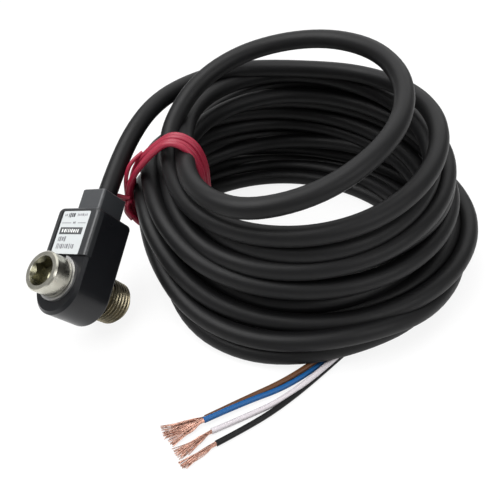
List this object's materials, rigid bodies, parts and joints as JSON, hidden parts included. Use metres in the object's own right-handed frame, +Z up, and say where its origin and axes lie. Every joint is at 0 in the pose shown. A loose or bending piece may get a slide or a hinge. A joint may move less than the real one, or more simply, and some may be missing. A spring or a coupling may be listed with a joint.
{
  "type": "pressure sensor",
  "caption": "Compact pressure sensor head with a taper-threaded port, a hexagon socket and a cable wound in a loose, tied coil with four bare-ended cores.",
  "frame": {"origin": "on the surface the object lies on, under the middle of the sensor head (its cable, tie and coil left out)", "axes": "+Z up from that surface; the head lies turned on the rim of its port thread, its cable leaves towards +Y and up, and the coil lies towards +X and +Y"},
  "size_m": [0.095, 0.1046, 0.0481],
  "materials": {
    "housing": "fine satin black",
    "cover": "fine satin black",
    "label": "smooth white film",
    "port_metal": "turned and nickel plated, faintly yellow",
    "seal_rubber": "matte black",
    "clip_steel": "stamped",
    "ceramic": null,
    "silicon": "polished silicon",
    "lead_metal": "gold plated",
    "board": "solder mask",
    "chip": "moulded",
    "small_chip": "ceramic chips",
    "relief": "satin, dark grey",
    "ferrule": "tinned brass",
    "jacket": "satin black sheath",
    "tie": "crimson",
    "brown_core": "smooth",
    "blue_core": "smooth",
    "white_core": "smooth",
    "black_core": "smooth",
    "copper": null
  },
  "bodies": {
    "root": {"housing": "housing", "front_cover": "cover", "label_plate": "label", "pressure_port": "port_metal", "front_seal": "seal_rubber", "rear_seal": "seal_rubber", "retaining_clip": "clip_steel", "cell_seal": "seal_rubber", "sensing_cell": "ceramic", "sensing_die": "silicon", "cell_leads": "lead_metal", "circuit_board": "board", "amplifier_chip": "chip", "small_chips": "small_chip", "strain_relief": "relief", "crimp_ferrule": "ferrule", "brown_stub": "brown_core", "white_stub": "white_core", "black_stub": "black_core", "blue_stub": "blue_core", "cable_lead_out": "jacket", "cable_loose_turn": "jacket", "cable_coil": "jacket", "cable_tie": "tie", "brown_core": "brown_core", "blue_core": "blue_core", "white_core": "white_core", "black_core": "black_core", "brown_strands": "copper", "blue_strands": "copper", "white_strands": "copper", "black_strands": "copper"}
  },
  "joints": []
}
